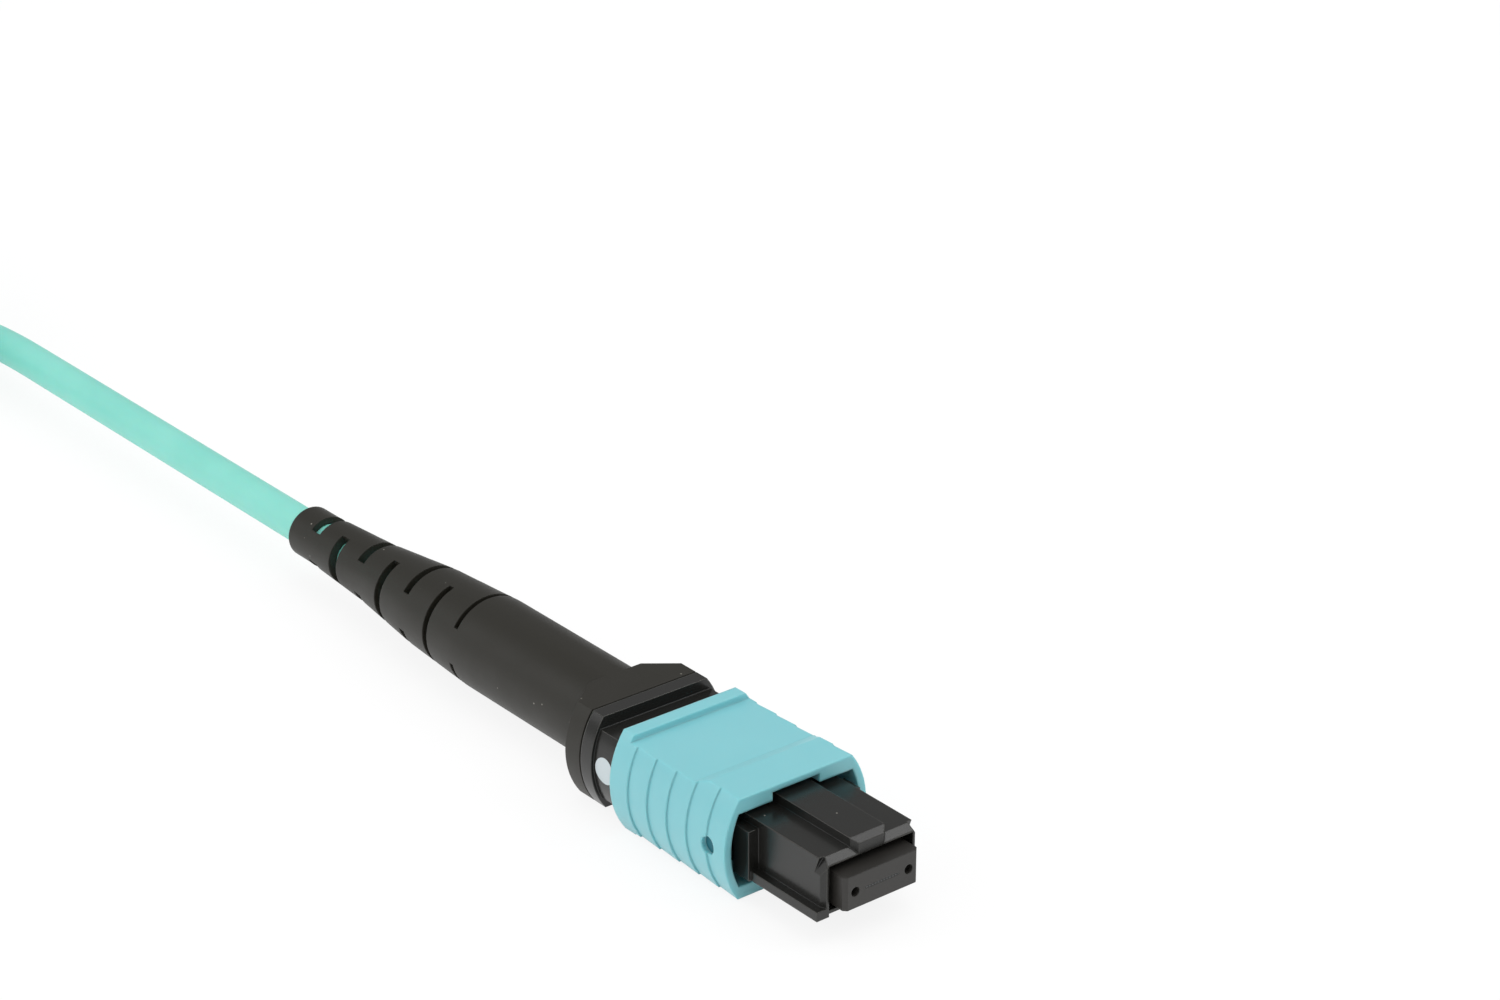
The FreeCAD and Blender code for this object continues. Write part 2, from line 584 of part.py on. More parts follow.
# ================================================================ cable
def tube(name, points):
    """Round cable along straight runs joined by tangent arcs; prints its radii and volume."""
    edges, radii = [], []
    start, length = points[0], 0.0
    for before, corner, after in zip(points, points[1:], points[2:]):
        run_in, run_out = corner - before, after - corner
        turn = run_in.getAngle(run_out)
        reach = 0.45 * min(run_in.Length, run_out.Length)
        radius = reach / math.tan(turn / 2)
        ahead, onward = V(run_in).normalize(), V(run_out).normalize()
        first, last = corner - ahead * reach, corner + onward * reach
        middle = corner + (onward - ahead).normalize() * (radius / math.cos(turn / 2) - radius)
        edges += [Part.LineSegment(start, first).toShape(), Part.Arc(first, middle, last).toShape()]
        length += (first - start).Length + radius * turn
        radii.append(radius)
        start = last
    edges.append(Part.LineSegment(start, points[-1]).toShape())
    length += (points[-1] - start).Length
    section = Part.Wire(Part.makeCircle(CABLE_D / 2, points[0], points[1] - points[0]))
    solid = Part.Wire(edges).makePipeShell([section], True, False)
    ratio = solid.Volume / (math.pi * CABLE_D ** 2 / 4 * length)
    print("%s: %.1f mm long, arc radii %s mm, volume ratio %.4f"
          % (name, length, ["%.0f" % r for r in radii], ratio))
    return solid


def hank_low():
    """Height of the hank's underside, which rests on its ties."""
    return FLOOR_Z + TIE_T


def bundle_section(x, y0, y1, z0, z1, corner):
    """Rectangle with cut corners in the plane x, round a bundle of cable."""
    return flat_face([V(x, y0 + corner, z0), V(x, y1 - corner, z0), V(x, y1, z0 + corner),
                      V(x, y1, z1 - corner), V(x, y1 - corner, z1), V(x, y0 + corner, z1),
                      V(x, y0, z1 - corner), V(x, y0, z0 + corner)])


def cable_hank():
    """Outer shape of the folded cable: a ring with two straight sides and two round ends."""
    low, high = hank_low(), hank_low() + HANK_LAYERS * CABLE_D
    outer = HANK_INNER_R + 1.5 * CABLE_D
    inner = HANK_INNER_R - CABLE_D / 2
    far = HANK_NEAR - HANK_STRAIGHT
    axis_y = -HANK_INNER_R - CABLE_D
    pieces = []
    for side in (-1, 1):
        y0, y1 = sorted((axis_y + side * inner, axis_y + side * outer))
        section = bundle_section(HANK_NEAR, y0, y1, low, high, CABLE_D / 4)
        pieces.append(section.extrude(V(far - HANK_NEAR, 0, 0)))
    section = bundle_section(HANK_NEAR, axis_y + inner, axis_y + outer, low, high, CABLE_D / 4)
    pieces.append(section.revolve(V(HANK_NEAR, axis_y, 0), V(0, 0, 1), -180))
    section.translate(V(far - HANK_NEAR, 0, 0))
    pieces.append(section.revolve(V(far, axis_y, 0), V(0, 0, 1), 180))
    return fuse(pieces)


def hank_tie(side):
    """Flat band closed round one straight side of the hank."""
    axis_y = -HANK_INNER_R - CABLE_D
    inner = HANK_INNER_R - CABLE_D / 2
    outer = HANK_INNER_R + 1.5 * CABLE_D
    y0, y1 = sorted((axis_y + side * inner, axis_y + side * outer))
    low, high = hank_low(), hank_low() + HANK_LAYERS * CABLE_D
    x = HANK_NEAR - HANK_STRAIGHT / 2 + TIE_W / 2
    band = bundle_section(x, y0 - TIE_T, y1 + TIE_T, low - TIE_T, high + TIE_T, CABLE_D / 4 + TIE_T)
    hollow = bundle_section(x, y0, y1, low, high, CABLE_D / 4)
    return band.cut(hollow).extrude(V(-TIE_W, 0, 0))


def lead_route():
    """Centre line of the cable from the crimp into the lowest layer of the hank."""
    return [V(CABLE_START, 0, 0), V(-120.5, 0, 0), V(-133, 0, hank_low() + CABLE_D / 2)]


def tail_route():
    """Centre line of the cable from the middle layer of the hank to the far connector."""
    return [V(-170, 0, hank_low() + 1.5 * CABLE_D), V(-190, FAR_OFFSET / 2, 0),
            V(FAR_BOOT_END, FAR_OFFSET, 0)]


def at_far_end(shape):
    """The same piece on the far connector, which points the other way."""
    moved = shape.copy()
    moved.rotate(V(0, 0, 0), V(0, 0, 1), 180)
    moved.translate(V(FAR_BOOT_END + BOOT_END, FAR_OFFSET, 0))
    return moved


def main():
    """Build every node and write it to parts/."""
    os.makedirs("parts", exist_ok=True)
    nodes = {
        "ferrule": ferrule(),
        "ferrule_boot": ferrule_boot(),
        "pin_clamp": pin_clamp(),
        "fibre_ribbon": fibre_ribbon(),
        "ferrule_spring": ferrule_spring(),
        "inner_housing": inner_housing(),
        "coupling_sleeve": coupling_sleeve(sleeve_outside()),
        "sleeve_spring_left": sleeve_spring(1),
        "sleeve_spring_right": sleeve_spring(-1),
        "spring_push": spring_push(),
        "aramid_yarn": aramid_yarn(),
        "crimp_ring": crimp_ring(),
        "boot": boot(),
        "cable_lead": tube("cable_lead", lead_route()),
        "cable_hank": cable_hank(),
        "hank_tie_left": hank_tie(1),
        "hank_tie_right": hank_tie(-1),
        "cable_tail": tube("cable_tail", tail_route()),
        "far_ferrule": at_far_end(ferrule()),
        "far_inner_housing": at_far_end(inner_housing()),
        "far_coupling_sleeve": at_far_end(coupling_sleeve(plain_sleeve())),
        "far_boot": at_far_end(boot_blank(1)),
    }
    for name, shape in nodes.items():
        print("%-20s valid %s, %d solid, %.2f mm3" % (name, shape.isValid(), len(shape.Solids), shape.Volume))
        shape.exportStep("parts/%s.step" % name)


main()
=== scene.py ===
"""MPO fibre connector on its jumper cable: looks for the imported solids.

Metres, in the frame of the CAD model: the origin is the centre of the ferrule's mating face,
+X is the mating direction, +Z is the key side and the connector lies on its coupling sleeve.
"""

import logging
import math
from dataclasses import dataclass
from enum import Enum

import bmesh
import bpy
from mathutils import Matrix, Vector


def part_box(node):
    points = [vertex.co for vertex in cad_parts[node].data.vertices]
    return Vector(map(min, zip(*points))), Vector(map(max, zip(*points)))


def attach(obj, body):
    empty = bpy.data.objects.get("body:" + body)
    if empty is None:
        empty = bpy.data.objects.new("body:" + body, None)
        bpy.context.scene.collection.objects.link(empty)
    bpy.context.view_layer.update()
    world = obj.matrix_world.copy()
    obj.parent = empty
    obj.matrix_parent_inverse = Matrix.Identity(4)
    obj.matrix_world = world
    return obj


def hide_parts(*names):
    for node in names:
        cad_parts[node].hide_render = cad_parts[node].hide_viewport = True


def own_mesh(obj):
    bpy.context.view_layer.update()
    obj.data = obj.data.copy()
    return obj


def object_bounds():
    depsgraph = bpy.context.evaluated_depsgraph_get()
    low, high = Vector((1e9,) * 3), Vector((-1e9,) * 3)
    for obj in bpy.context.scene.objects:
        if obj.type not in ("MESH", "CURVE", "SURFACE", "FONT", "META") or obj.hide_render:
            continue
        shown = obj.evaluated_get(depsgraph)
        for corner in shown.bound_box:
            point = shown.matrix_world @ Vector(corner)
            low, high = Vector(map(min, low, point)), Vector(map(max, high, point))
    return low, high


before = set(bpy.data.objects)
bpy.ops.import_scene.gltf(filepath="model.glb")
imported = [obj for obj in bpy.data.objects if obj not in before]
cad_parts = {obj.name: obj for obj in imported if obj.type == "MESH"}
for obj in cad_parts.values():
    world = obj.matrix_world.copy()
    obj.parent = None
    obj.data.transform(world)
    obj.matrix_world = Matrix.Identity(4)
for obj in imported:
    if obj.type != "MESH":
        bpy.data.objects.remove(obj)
CAD_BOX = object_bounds()

MM = 0.001
WELD = 1e-7                 # metres within which corners of CAD triangles are one
WAVE_RADIANS = 20           # a wave texture turns this far in one unit of its scale
SPECK_RADIUS_MM = 0.08
DUST_COLOUR = "#9A978F"
# pale colour of the outer edges: painted highlight, and partly wear
EDGE_WEAR_AND_HIGHLIGHT_COLOUR = "#7D7A74"
WHITE = (1.0, 1.0, 1.0, 1.0)
LOG = logging.getLogger("connector")


class Body(Enum):
    """The rigid bodies that pieces ride on."""

    PLUG = "plug"
    SLEEVE = "sleeve"
    FERRULE = "floating_ferrule"


class Joint(Enum):
    """Joints of the frame."""

    SLEEVE_SLIDE = "sleeve_slide"
    FERRULE_FLOAT = "ferrule_float"


def linear(colour: str) -> tuple[float, float, float, float]:
    """Turn an sRGB hex colour into linear RGBA.

    Args:
        colour: Six hex digits after a hash.

    Returns:
        Linear red, green, blue and an alpha of 1.
    """
    parts = [int(colour[i:i + 2], 16) / 255 for i in (1, 3, 5)]
    red, green, blue = (p / 12.92 if p <= 0.04045 else ((p + 0.055) / 1.055) ** 2.4 for p in parts)
    return red, green, blue, 1.0


def add(tree: bpy.types.NodeTree, kind: str, settings: dict | None = None,
        links: dict | None = None) -> bpy.types.Node:
    """Add one node with its settings and incoming links.

    Args:
        tree: Node tree that gets the node.
        kind: Blender's name of the node type.
        settings: Attributes in lower case, and input values by their socket name or number.
        links: Output sockets by the input's name or number.

    Returns:
        The new node.
    """
    made = tree.nodes.new(kind)
    for key, value in (settings or {}).items():
        if isinstance(key, str) and key[0].islower():
            setattr(made, key, value)
    for key, value in (settings or {}).items():
        if not isinstance(key, str) or not key[0].islower():
            made.inputs[key].default_value = value
    for key, socket in (links or {}).items():
        tree.links.new(socket, made.inputs[key])
    return made


def per_mm(size_mm: float) -> float:
    """Texture scale at which one cell of a pattern is the given size."""
    return 1 / (size_mm * MM)


def two_shades(tree: bpy.types.NodeTree, shade: str, colour: str,
               share: bpy.types.NodeSocket) -> bpy.types.Node:
    """Mix of two colours: the first where the share is 0, the second where it is 1."""
    return add(tree, "ShaderNodeMix", {"data_type": "RGBA", 6: linear(shade), 7: linear(colour)}, {0: share})


def spread(tree: bpy.types.NodeTree, low: float, high: float, value: bpy.types.NodeSocket) -> bpy.types.Node:
    """Turn a value from 0 to 1 into one from low to high."""
    return add(tree, "ShaderNodeMapRange", {"To Min": low, "To Max": high}, {"Value": value})


def dust(tree: bpy.types.NodeTree, place: bpy.types.NodeSocket, apart_mm: float,
         share: float) -> bpy.types.NodeSocket:
    """Mask of a few pale specks, about 0.15 mm across, as clings to black plastic.

    Args:
        tree: Node tree that gets the nodes.
        place: Object coordinates.
        apart_mm: Size of the cells that may each hold one speck.
        share: Share of the cells that do.

    Returns:
        Socket that is above 0 on a speck.
    """
    cells = add(tree, "ShaderNodeTexVoronoi", {"Scale": per_mm(apart_mm), "Randomness": 1.0},
                {"Vector": place})
    drawn = add(tree, "ShaderNodeSeparateColor", links={0: cells.outputs["Color"]})
    kept = add(tree, "ShaderNodeMath", {"operation": "LESS_THAN", 1: share}, {0: drawn.outputs[0]})
    radius = SPECK_RADIUS_MM / apart_mm
    speck = add(tree, "ShaderNodeMapRange",
                {"From Min": 0.4 * radius, "From Max": radius, "To Min": 0.7, "To Max": 0.0},
                {"Value": cells.outputs["Distance"]})
    return add(tree, "ShaderNodeMath", {"operation": "MULTIPLY"},
               {0: kept.outputs[0], 1: speck.outputs[0]}).outputs[0]


def edge_wear_and_highlight_mask(tree: bpy.types.NodeTree, edge: bpy.types.NodeSocket, patches: bpy.types.NodeSocket,
           share: float) -> bpy.types.NodeSocket:
    """Mask of the outer edges painted paler: a painted highlight, and partly wear from handling.

    Args:
        tree: Node tree that gets the nodes.
        edge: Normal of the rounded edges.
        patches: Pattern that makes the wear uneven.
        share: Strength of the palest painted highlight and wear.

    Returns:
        Socket that is above 0 on outer edges only.
    """
    still_flat, fully_turned = 0.995, 0.85        # cosine between the rounded and the flat normal
    nook, open_edge, reach_mm = 0.8, 0.95, 0.4  # ambient occlusion, and how far it looks
    flat = add(tree, "ShaderNodeNewGeometry").outputs["Normal"]
    turn = add(tree, "ShaderNodeVectorMath", {"operation": "DOT_PRODUCT"}, {0: edge, 1: flat})
    highlit_wear = add(tree, "ShaderNodeMapRange", {"From Min": still_flat, "From Max": fully_turned, "To Max": share},
               {"Value": turn.outputs["Value"]})
    around = add(tree, "ShaderNodeAmbientOcclusion", {"samples": 8, "Distance": reach_mm * MM})
    outer = add(tree, "ShaderNodeMapRange", {"From Min": nook, "From Max": open_edge},
                {"Value": around.outputs["AO"]})
    uneven = add(tree, "ShaderNodeMath", {"operation": "MULTIPLY"}, {0: highlit_wear.outputs[0], 1: patches})
    return add(tree, "ShaderNodeMath", {"operation": "MULTIPLY"},
               {0: uneven.outputs[0], 1: outer.outputs[0]}).outputs[0]


@dataclass(frozen=True)
class Finish:
    """A finish: its name, and how its surface is built."""

    name: str

    def material(self) -> bpy.types.Material:
        """Build the material, or give the one that was built before."""
        found = bpy.data.materials.get(self.name)
        if found:
            return found
        made = bpy.data.materials.new(self.name)
        made.use_nodes = True
        made.node_tree.nodes.clear()
        shader = self.shader(made.node_tree)
        add(made.node_tree, "ShaderNodeOutputMaterial", links={"Surface": shader.outputs[0]})
        return made

    def shader(self, tree: bpy.types.NodeTree) -> bpy.types.Node:
        """Build the surface shader. Each finish has its own."""
        raise NotImplementedError

    def dress(self, *pieces: bpy.types.Object) -> None:
        """Give the material to pieces and CAD nodes."""
        for piece in pieces:
            if not piece.material_slots:
                piece.data.materials.append(self.material())
            for place in piece.material_slots:
                place.material = self.material()


@dataclass(frozen=True)
class MouldedPlastic(Finish):
    """Injection-moulded thermoplastic: a tool-finished skin with a faint grain and rounded edges."""

    colour: str
    shade: str
    roughness: float
    grain_mm: float = 0.12
    grain_depth_mm: float = 0.002
    flow_mm: float = 6.0
    edge_mm: float = 0.1
    gloss_spread: float = 0.05
    subsurface: float = 0.0
    specks: float = 0.0
    specks_apart_mm: float = 1.2
    wear_and_highlight: float = 0.0

    def shader(self, tree: bpy.types.NodeTree) -> bpy.types.Node:
        """Two close shades from the melt's flow, a fine grain, and edges as the tool leaves them."""
        place = add(tree, "ShaderNodeTexCoord").outputs["Object"]
        flow = add(tree, "ShaderNodeTexNoise", {"Scale": per_mm(self.flow_mm), "Detail": 3.0},
                   {"Vector": place})
        grain = add(tree, "ShaderNodeTexNoise", {"Scale": per_mm(self.grain_mm), "Detail": 2.0},
                    {"Vector": place})
        tint = two_shades(tree, self.shade, self.colour, flow.outputs[0])
        if self.specks:
            tint = add(tree, "ShaderNodeMix", {"data_type": "RGBA", 7: linear(DUST_COLOUR)},
                       {0: dust(tree, place, self.specks_apart_mm, self.specks), 6: tint.outputs[2]})
        gloss = spread(tree, self.roughness - self.gloss_spread, self.roughness + self.gloss_spread,
                       flow.outputs[0])
        edge = add(tree, "ShaderNodeBevel", {"samples": 8, "Radius": self.edge_mm * MM})
        # outer edges painted paler: a painted highlight, and partly wear
        if self.wear_and_highlight:
            tint = add(tree, "ShaderNodeMix", {"data_type": "RGBA", 7: linear(EDGE_WEAR_AND_HIGHLIGHT_COLOUR)},
                       {0: edge_wear_and_highlight_mask(tree, edge.outputs[0], flow.outputs[0], self.wear_and_highlight), 6: tint.outputs[2]})
        bump = add(tree, "ShaderNodeBump", {"Strength": 0.6, "Distance": self.grain_depth_mm * MM},
                   {"Height": grain.outputs[0], "Normal": edge.outputs[0]})
        return add(tree, "ShaderNodeBsdfPrincipled",
                   {"IOR": 1.5, "Subsurface Weight": self.subsurface, "Subsurface Scale": 0.5 * MM,
                    "Subsurface Radius": (0.6, 1.0, 1.0)},
                   {"Base Color": tint.outputs[2], "Roughness": gloss.outputs[0], "Normal": bump.outputs[0]})


@dataclass(frozen=True)
class BootRubber(Finish):
    """Thermoplastic rubber: eroded tool grain that scatters the light, with a few pale dust specks."""

    colour: str = "#24221B"
    speck: str = "#B4B0A6"
    specks: float = 0.45
    specks_apart_mm: float = 1.1
    roughness: tuple[float, float] = (0.42, 0.6)

    def shader(self, tree: bpy.types.NodeTree) -> bpy.types.Node:
        """Fine grain in height, clouds in the gloss, and dust."""
        place = add(tree, "ShaderNodeTexCoord").outputs["Object"]
        grain = add(tree, "ShaderNodeTexNoise", {"Scale": per_mm(0.16), "Detail": 2.0}, {"Vector": place})
        cloud = add(tree, "ShaderNodeTexNoise", {"Scale": per_mm(3.5), "Detail": 4.0}, {"Vector": place})
        tint = two_shades(tree, self.colour, self.speck,
                          dust(tree, place, self.specks_apart_mm, self.specks))
        gloss = spread(tree, *self.roughness, cloud.outputs[0])
        edge = add(tree, "ShaderNodeBevel", {"samples": 6, "Radius": 0.12 * MM})
        bump = add(tree, "ShaderNodeBump", {"Strength": 0.8, "Distance": 0.003 * MM},
                   {"Height": grain.outputs[0], "Normal": edge.outputs[0]})
        return add(tree, "ShaderNodeBsdfPrincipled", {"IOR": 1.48},
                   {"Base Color": tint.outputs[2], "Roughness": gloss.outputs[0], "Normal": bump.outputs[0]})


@dataclass(frozen=True)
class CableJacket(Finish):
    """Extruded low-smoke jacket: soft satin skin, even in colour, with a faint waviness."""

    colour: str = "#8EDCCF"
    shade: str = "#7ED2C4"
    roughness: tuple[float, float] = (0.42, 0.55)

    def shader(self, tree: bpy.types.NodeTree) -> bpy.types.Node:
        """Satin skin with a shallow unevenness along the cable."""
        place = add(tree, "ShaderNodeTexCoord").outputs["Object"]
        wave = add(tree, "ShaderNodeTexNoise", {"Scale": per_mm(4.0), "Detail": 2.0}, {"Vector": place})
        skin = add(tree, "ShaderNodeTexNoise", {"Scale": per_mm(0.15), "Detail": 2.0}, {"Vector": place})
        tint = two_shades(tree, self.shade, self.colour, wave.outputs[0])
        gloss = spread(tree, *self.roughness, wave.outputs[0])
        bump = add(tree, "ShaderNodeBump", {"Strength": 0.5, "Distance": 0.004 * MM},
                   {"Height": skin.outputs[0]})
        return add(tree, "ShaderNodeBsdfPrincipled",
                   {"IOR": 1.5, "Subsurface Weight": 0.15, "Subsurface Scale": 0.6 * MM},
                   {"Base Color": tint.outputs[2], "Roughness": gloss.outputs[0], "Normal": bump.outputs[0]})


@dataclass(frozen=True)
class Metal(Finish):
    """Bright metal with the fine lines of drawing or turning across its axis."""

    colour: str
    roughness: float
    line_mm: float
    gloss_spread: float = 0.08
    line_stretch: float = 0.05

    def shader(self, tree: bpy.types.NodeTree) -> bpy.types.Node:
        """Rings along X in height and gloss."""
        place = add(tree, "ShaderNodeTexCoord").outputs["Object"]
        stretched = add(tree, "ShaderNodeMapping", {"Scale": (1.0, self.line_stretch, self.line_stretch)},
                        {"Vector": place})
        lines = add(tree, "ShaderNodeTexNoise", {"Scale": per_mm(self.line_mm), "Detail": 2.0},
                    {"Vector": stretched.outputs[0]})
        gloss = spread(tree, self.roughness - self.gloss_spread, self.roughness + self.gloss_spread,
                       lines.outputs[0])
        bump = add(tree, "ShaderNodeBump", {"Strength": 0.4, "Distance": 0.003 * MM},
                   {"Height": lines.outputs[0]})
        return add(tree, "ShaderNodeBsdfPrincipled", {"Base Color": linear(self.colour), "Metallic": 1.0},
                   {"Roughness": gloss.outputs[0], "Normal": bump.outputs[0]})


@dataclass(frozen=True)
class Weave(Finish):
    """Woven or stranded fibre: threads that cross in soft bands, each about six threads wide."""

    colour: str
    shade: str
    thread_mm: float

    def shader(self, tree: bpy.types.NodeTree) -> bpy.types.Node:
        """Crossed bands of thread, darker between them, with a soft sheen."""
        place = add(tree, "ShaderNodeTexCoord").outputs["Object"]
        along, across = (add(tree, "ShaderNodeTexWave",
                             {"bands_direction": direction, "Scale": per_mm(self.thread_mm) / WAVE_RADIANS,
                              "Distortion": 0.6, "Detail": 1.0}, {"Vector": place})
                         for direction in ("X", "DIAGONAL"))
        threads = add(tree, "ShaderNodeMath", {"operation": "MULTIPLY"},
                      {0: along.outputs[1], 1: across.outputs[1]})
        tint = two_shades(tree, self.shade, self.colour, threads.outputs[0])
        bump = add(tree, "ShaderNodeBump", {"Strength": 0.8, "Distance": 0.05 * MM},
                   {"Height": threads.outputs[0]})
        return add(tree, "ShaderNodeBsdfPrincipled", {"Roughness": 0.85, "Sheen Weight": 0.3},
                   {"Base Color": tint.outputs[2], "Normal": bump.outputs[0]})


@dataclass(frozen=True)
class FibreRibbon(Finish):
    """Twelve acrylate-coated fibres side by side in their colour code, and their bare glass ends."""

    pitch_mm: float = 0.25
    bare_mm: float = 3.0
    glass: str = "#1D2022"
    code: tuple[str, ...] = ("#2E62B8", "#E07A2A", "#3C9A4E", "#7A4E2E", "#7E858C", "#E8E6E0",
                             "#C23A34", "#2A2A2A", "#E2C63A", "#7C5AA6", "#E49AAE", "#7CCFCB")

    def shader(self, tree: bpy.types.NodeTree) -> bpy.types.Node:
        """One colour for each fibre across Y, a groove between two, and dark polished glass at the front."""
        place = add(tree, "ShaderNodeTexCoord").outputs["Object"]
        axes = add(tree, "ShaderNodeSeparateXYZ", links={0: place})
        half = len(self.code) * self.pitch_mm * MM / 2
        across = add(tree, "ShaderNodeMapRange", {"From Min": -half, "From Max": half},
                     {"Value": axes.outputs[1]})
        coats = add(tree, "ShaderNodeValToRGB", links={0: across.outputs[0]})
        coats.color_ramp.interpolation = "CONSTANT"
        stops = coats.color_ramp.elements
        stops[0].color = linear(self.code[0])
        stops[1].position, stops[1].color = 1 / len(self.code), linear(self.code[1])
        for i, colour in enumerate(self.code[2:], start=2):
            stops.new(i / len(self.code)).color = linear(colour)
        bare = add(tree, "ShaderNodeMath", {"operation": "GREATER_THAN", 1: -self.bare_mm * MM},
                   {0: axes.outputs[0]})
        tint = add(tree, "ShaderNodeMix", {"data_type": "RGBA", 7: linear(self.glass)},
                   {0: bare.outputs[0], 6: coats.outputs[0]})
        round_top = add(tree, "ShaderNodeMath", {"operation": "PINGPONG", 1: self.pitch_mm * MM / 2},
                        {0: axes.outputs[1]})
        bump = add(tree, "ShaderNodeBump", {"Strength": 0.6, "Distance": 0.5},
                   {"Height": round_top.outputs[0]})
        return add(tree, "ShaderNodeBsdfPrincipled", {"IOR": 1.5, "Roughness": 0.25},
                   {"Base Color": tint.outputs[2], "Normal": bump.outputs[0]})


@dataclass(frozen=True)
class StudioFloor(Finish):
    """White sweep: the camera and reflections see it white, and it keeps a soft shadow."""

    lift: float = 0.86

    def shader(self, tree: bpy.types.NodeTree) -> bpy.types.Node:
        """Diffuse white, lifted towards plain white for camera, glossy and transmission rays."""
        rays = add(tree, "ShaderNodeLightPath")
        seen = add(tree, "ShaderNodeMath", {"operation": "MAXIMUM"},
                   {0: rays.outputs["Is Camera Ray"], 1: rays.outputs["Is Glossy Ray"]})
        seen = add(tree, "ShaderNodeMath", {"operation": "MAXIMUM"},
                   {0: seen.outputs[0], 1: rays.outputs["Is Transmission Ray"]})
        share = add(tree, "ShaderNodeMath", {"operation": "MULTIPLY", 1: self.lift}, {0: seen.outputs[0]})
        matte = add(tree, "ShaderNodeBsdfDiffuse", {"Color": WHITE})
        white = add(tree, "ShaderNodeEmission", {"Strength": 1.0})
        return add(tree, "ShaderNodeMixShader",
                   links={0: share.outputs[0], 1: matte.outputs[0], 2: white.outputs[0]})


# the housing's paler outer edges are a painted highlight, and partly wear
BLACK_HOUSING = MouldedPlastic("black_housing_pbt", "#1F1F1D", "#1A1A18", roughness=0.25, grain_mm=0.2,
                               grain_depth_mm=0.0025, edge_mm=0.12, specks=0.2, wear_and_highlight=0.5)
AQUA_SLEEVE = MouldedPlastic("aqua_sleeve_pbt", "#86C8CF", "#80C4CC", roughness=0.38, edge_mm=0.22,
                             subsurface=0.6)
# dark teal discs on the sleeve's recess floors: painted shade of the deep recesses
RECESS_PAINTED_SHADE = MouldedPlastic("aqua_recess_painted_shade", "#226C79", "#1E6673", roughness=0.5, edge_mm=0.02)
FERRULE_PPS = MouldedPlastic("ferrule_filled_pps", "#302E2B", "#2A2927", roughness=0.42)
CARRIER_PLASTIC = MouldedPlastic("carrier_pbt", "#262625", "#201F1F", roughness=0.4)
CLAMP_PLASTIC = MouldedPlastic("pin_clamp_pei", "#B9A27C", "#AD956E", roughness=0.4)
SOFT_SLEEVE = MouldedPlastic("ferrule_boot_silicone", "#2E2E2E", "#262626", roughness=0.6)
MARKING_PAINT = MouldedPlastic("marking_paint", "#CBD4D7", "#C4CED2", roughness=0.45, grain_mm=0.3)
FIBRES = FibreRibbon("colour_coded_fibres")
BOOT_RUBBER = BootRubber("boot_thermoplastic_rubber")
JACKET = CableJacket("jacket_low_smoke_compound")
SPRING_STEEL = Metal("drawn_spring_wire", "#C9C8C4", roughness=0.28, line_mm=0.05)
CRIMP_METAL = Metal("crimp_nickel", "#CFCBC2", roughness=0.3, line_mm=0.08)
ARAMID = Weave("aramid_yarn", "#E3C04A", "#B8912A", thread_mm=0.15)
TIE_FABRIC = Weave("tie_woven_nylon", "#2B2B2B", "#121212", thread_mm=0.35)
FLOOR = StudioFloor("studio_floor")


def node(name: str) -> bpy.types.Object:
    """The CAD object of a node."""
    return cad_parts[name]


def new_piece(name: str, mesh: bmesh.types.BMesh, body: Body, finish: Finish,
              smooth: bool = True) -> bpy.types.Object:
    """Turn a bmesh into a finished piece that rides on a body.

    Args:
        name: Name of the new object.
        mesh: Its shape, in metres, which is freed.
        body: The body that it moves with.
        finish: Its material.
        smooth: Whether its faces are shaded smooth.

    Returns:
        The new object.
    """
    bmesh.ops.recalc_face_normals(mesh, faces=mesh.faces)
    for face in mesh.faces:
        face.smooth = smooth
    data = bpy.data.meshes.new(name)
    mesh.to_mesh(data)
    mesh.free()
    piece = bpy.data.objects.new(name, data)
    bpy.context.scene.collection.objects.link(piece)
    finish.dress(piece)
    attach(piece, body.value)
    LOG.info("%s rides on %s", name, body.value)
    return piece


def welded(source: bpy.types.Object) -> bmesh.types.BMesh:
    """Copy an object's mesh, with the corners joined that its triangles share."""
    mesh = bmesh.new()
    mesh.from_mesh(source.data)
    bmesh.ops.remove_doubles(mesh, verts=mesh.verts, dist=WELD)
    return mesh


def sharpen(piece: bpy.types.Object, degrees: float) -> None:
    """Keep edges crisp where two faces meet at more than an angle.

    Args:
        piece: Object with a merged mesh.
        degrees: Least angle of a crisp edge.
    """
    mesh = bmesh.new()
    mesh.from_mesh(piece.data)
    for edge in mesh.edges:
        edge.smooth = edge.calc_face_angle(math.pi) < math.radians(degrees)
    mesh.to_mesh(piece.data)
    mesh.free()


def thicken(mesh: bmesh.types.BMesh, thickness: float) -> None:
    """Give an open skin a wall, half to each side of it.

    Args:
        mesh: Open skin with outward normals.
        thickness: Wall in metres.
    """
    bmesh.ops.recalc_face_normals(mesh, faces=mesh.faces)
    for vert in mesh.verts:
        vert.normal_update()
    for vert in mesh.verts:
        vert.co += vert.normal * thickness / 2
    bmesh.ops.solidify(mesh, geom=list(mesh.faces), thickness=thickness)


